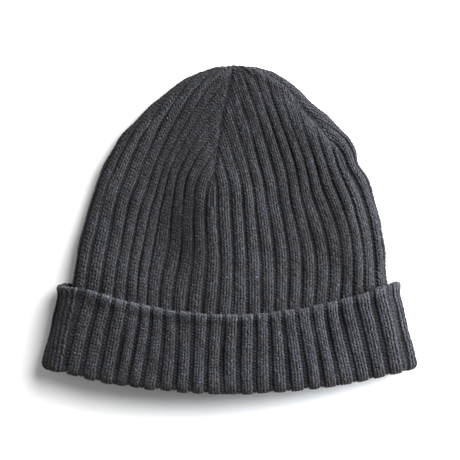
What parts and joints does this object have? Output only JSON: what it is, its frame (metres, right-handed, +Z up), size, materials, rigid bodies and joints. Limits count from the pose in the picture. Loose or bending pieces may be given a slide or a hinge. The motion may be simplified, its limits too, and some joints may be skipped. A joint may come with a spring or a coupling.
{
  "type": "ribbed knit watch cap with a turned-up cuff",
  "caption": "Hollow ribbed knit cap lying flat, its crown shaped by darts and its hem turned up into a cuff.",
  "frame": {"origin": "bottom centre of the cap's bounding box, on the surface that the cap lies on", "axes": "+Z up from the surface that the cap lies on, +Y from the hem towards the crown's tip, +X across the cap to the right as seen from above"},
  "size_m": [0.2295, 0.201, 0.0338],
  "materials": {
    "knit_wool": "matte dark charcoal heather wool, two by two rib"
  },
  "bodies": {
    "root": {"knit_cap": "knit_wool"}
  },
  "joints": []
}
